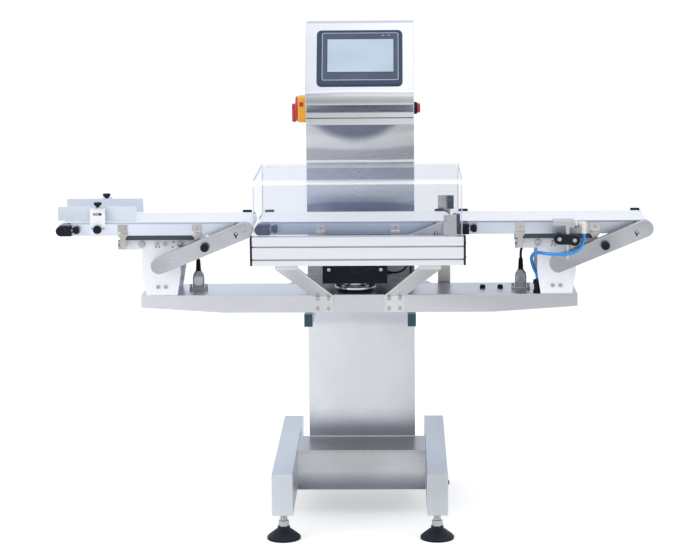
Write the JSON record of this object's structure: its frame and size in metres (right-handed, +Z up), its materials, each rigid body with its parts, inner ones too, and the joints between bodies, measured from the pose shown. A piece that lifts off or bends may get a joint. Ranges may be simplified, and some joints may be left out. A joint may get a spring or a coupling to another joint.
{
  "type": "checkweigher",
  "caption": "Checkweigher: belt conveyors in line on a cross beam, the middle one on a load cell under a clear cover, with a steel column, slanted touch panel and air-blast reject.",
  "frame": {"origin": "on the floor under the centre of the machine's box, without its cords and plugs", "axes": "+X the way the product travels, +Y from the belts back to the column, +Z up"},
  "size_m": [1.3894, 0.612, 1.2037],
  "materials": {
    "brushed_steel": "satin brushed stainless steel",
    "head_steel": "bright satin stainless steel",
    "aluminium": "natural anodised extrusion",
    "white_metal": "white powder coat",
    "black_metal": "black powder coat",
    "black_plastic": "fine grained black plastic",
    "dark_plastic": "dark moulded plastic",
    "bezel_plastic": "slate blue moulded frame",
    "screen_glass": "pale display behind a gloss front sheet",
    "yellow_plastic": "yellow moulded plastic",
    "red_plastic": "red moulded plastic",
    "belt_white": "smooth white belting",
    "guide_plastic": "pale milky plastic sheet",
    "steel_shaft": "turned and plated steel",
    "zinc": "zinc plated screws",
    "bracket_steel": "bent stainless sheet",
    "clear_cover": "clear acrylic sheet",
    "black_rubber": "black toothed belt and cable jacket",
    "blue_tube": "blue air tube",
    "fitting": "cream elbow with a plated hexagon",
    "plug_grey": "grey connector hood",
    "gear_grey": "plated panel with grey modules"
  },
  "bodies": {
    "machine": {"left_leg": "brushed_steel", "right_leg": "brushed_steel", "base_box": "brushed_steel", "foot_pads": "dark_plastic", "foot_stems": "zinc", "column_shell": "brushed_steel", "console_shell": "head_steel", "panel_bezel": "bezel_plastic", "panel_screen": "screen_glass", "switch_body": "yellow_plastic", "button_bezel": "black_plastic", "lower_beam": "brushed_steel", "beam_neck": "brushed_steel", "beam_struts": "bracket_steel", "aluminium_beam": "aluminium", "end_caps": "black_plastic", "conveyor_stands": "white_metal", "weigh_stand": "black_metal", "load_cell": "steel_shaft", "cradle_blocks": "dark_plastic", "infeed_frame": "aluminium", "weigh_frame": "aluminium", "outfeed_frame": "aluminium", "conveyor_belts": "belt_white", "bearing_blocks": "black_plastic", "hanger_brackets": "bracket_steel", "belt_guards": "brushed_steel", "timing_belts": "black_rubber", "drive_motors": "black_metal", "hand_knobs": "black_plastic", "guide_brackets": "white_metal", "eye_brackets": "bracket_steel", "photo_eyes": "dark_plastic", "rod_clamp": "black_plastic", "nozzle_rod": "brushed_steel", "air_fitting": "fitting", "air_tube": "blue_tube", "cable_fittings": "black_plastic", "cable_plugs": "plug_grey", "infeed_cable": "black_rubber", "outfeed_cable": "black_rubber", "load_cell_cable": "black_rubber", "control_gear": "gear_grey", "fasteners": "zinc"},
    "column_door": {"column_door": "brushed_steel"},
    "door_latch": {"door_latch": "black_plastic"},
    "switch_handle": {"switch_handle": "red_plastic"},
    "button_cap": {"button_cap": "red_plastic"},
    "tunnel_cover": {"tunnel_cover": "clear_cover"},
    "infeed_drive_roller": {"infeed_drive_roller": "steel_shaft"},
    "weigh_drive_roller": {"weigh_drive_roller": "steel_shaft"},
    "outfeed_drive_roller": {"outfeed_drive_roller": "steel_shaft"},
    "infeed_tail_roller": {"infeed_tail_roller": "steel_shaft"},
    "weigh_tail_roller": {"weigh_tail_roller": "steel_shaft"},
    "outfeed_tail_roller": {"outfeed_tail_roller": "steel_shaft"},
    "infeed_motor_pulley": {"infeed_motor_pulley": "steel_shaft"},
    "weigh_motor_pulley": {"weigh_motor_pulley": "steel_shaft"},
    "outfeed_motor_pulley": {"outfeed_motor_pulley": "steel_shaft"},
    "front_guide": {"front_guide": "guide_plastic"},
    "rear_guide": {"rear_guide": "guide_plastic"}
  },
  "joints": [
    {"name": "door_hinge", "type": "hinge", "parent": "machine", "child": "column_door", "pos_m": [-0.11475, 0.266, 0.565], "axis": [0, 0, 1], "range_deg": [0, 110]},
    {"name": "latch_turn", "type": "hinge", "parent": "column_door", "child": "door_latch", "pos_m": [0.11125, 0.2635, 0.565], "axis": [0, 1, 0], "range_deg": [0, 90]},
    {"name": "main_switch_turn", "type": "hinge", "parent": "machine", "child": "switch_handle", "pos_m": [-0.14505, 0.171, 0.99], "axis": [1, 0, 0], "range_deg": [0, 90]},
    {"name": "button_press", "type": "slide", "parent": "machine", "child": "button_cap", "axis": [-1, 0, 0], "range_m": [0, 0.004], "stiffness_N_per_m": 300, "springref_m": -0.01},
    {"name": "cover_lift", "type": "slide", "parent": "machine", "child": "tunnel_cover", "axis": [0, 0, 1], "range_m": [0, 0.1]},
    {"name": "infeed_drive_spin", "type": "hinge", "parent": "machine", "child": "infeed_drive_roller", "pos_m": [-0.25075, -0.149, 0.748], "axis": [0, 1, 0], "continuous": true},
    {"name": "infeed_tail_spin", "type": "hinge", "parent": "machine", "child": "infeed_tail_roller", "pos_m": [-0.67575, -0.149, 0.748], "axis": [0, 1, 0], "continuous": true},
    {"name": "infeed_motor_spin", "type": "hinge", "parent": "machine", "child": "infeed_motor_pulley", "pos_m": [-0.45275, -0.226, 0.665], "axis": [0, 1, 0], "continuous": true},
    {"name": "weigh_drive_spin", "type": "hinge", "parent": "machine", "child": "weigh_drive_roller", "pos_m": [0.21325, -0.149, 0.748], "axis": [0, 1, 0], "continuous": true},
    {"name": "weigh_tail_spin", "type": "hinge", "parent": "machine", "child": "weigh_tail_roller", "pos_m": [-0.21175, -0.149, 0.748], "axis": [0, 1, 0], "continuous": true},
    {"name": "weigh_motor_spin", "type": "hinge", "parent": "machine", "child": "weigh_motor_pulley", "pos_m": [0.01125, -0.226, 0.665], "axis": [0, 1, 0], "continuous": true},
    {"name": "outfeed_drive_spin", "type": "hinge", "parent": "machine", "child": "outfeed_drive_roller", "pos_m": [0.67725, -0.149, 0.748], "axis": [0, 1, 0], "continuous": true},
    {"name": "outfeed_tail_spin", "type": "hinge", "parent": "machine", "child": "outfeed_tail_roller", "pos_m": [0.25225, -0.149, 0.748], "axis": [0, 1, 0], "continuous": true},
    {"name": "outfeed_motor_spin", "type": "hinge", "parent": "machine", "child": "outfeed_motor_pulley", "pos_m": [0.47525, -0.226, 0.665], "axis": [0, 1, 0], "continuous": true},
    {"name": "front_guide_set", "type": "slide", "parent": "machine", "child": "front_guide", "axis": [0, 1, 0], "range_m": [-0.001, 0.018]},
    {"name": "rear_guide_set", "type": "slide", "parent": "machine", "child": "rear_guide", "axis": [0, -1, 0], "range_m": [-0.001, 0.018]}
  ],
  "couplings": [
    {"joint": "infeed_tail_spin", "follows": "infeed_drive_spin", "ratio": 1},
    {"joint": "infeed_motor_spin", "follows": "infeed_drive_spin", "ratio": 1},
    {"joint": "weigh_tail_spin", "follows": "weigh_drive_spin", "ratio": 1},
    {"joint": "weigh_motor_spin", "follows": "weigh_drive_spin", "ratio": 1},
    {"joint": "outfeed_tail_spin", "follows": "outfeed_drive_spin", "ratio": 1},
    {"joint": "outfeed_motor_spin", "follows": "outfeed_drive_spin", "ratio": 1}
  ]
}
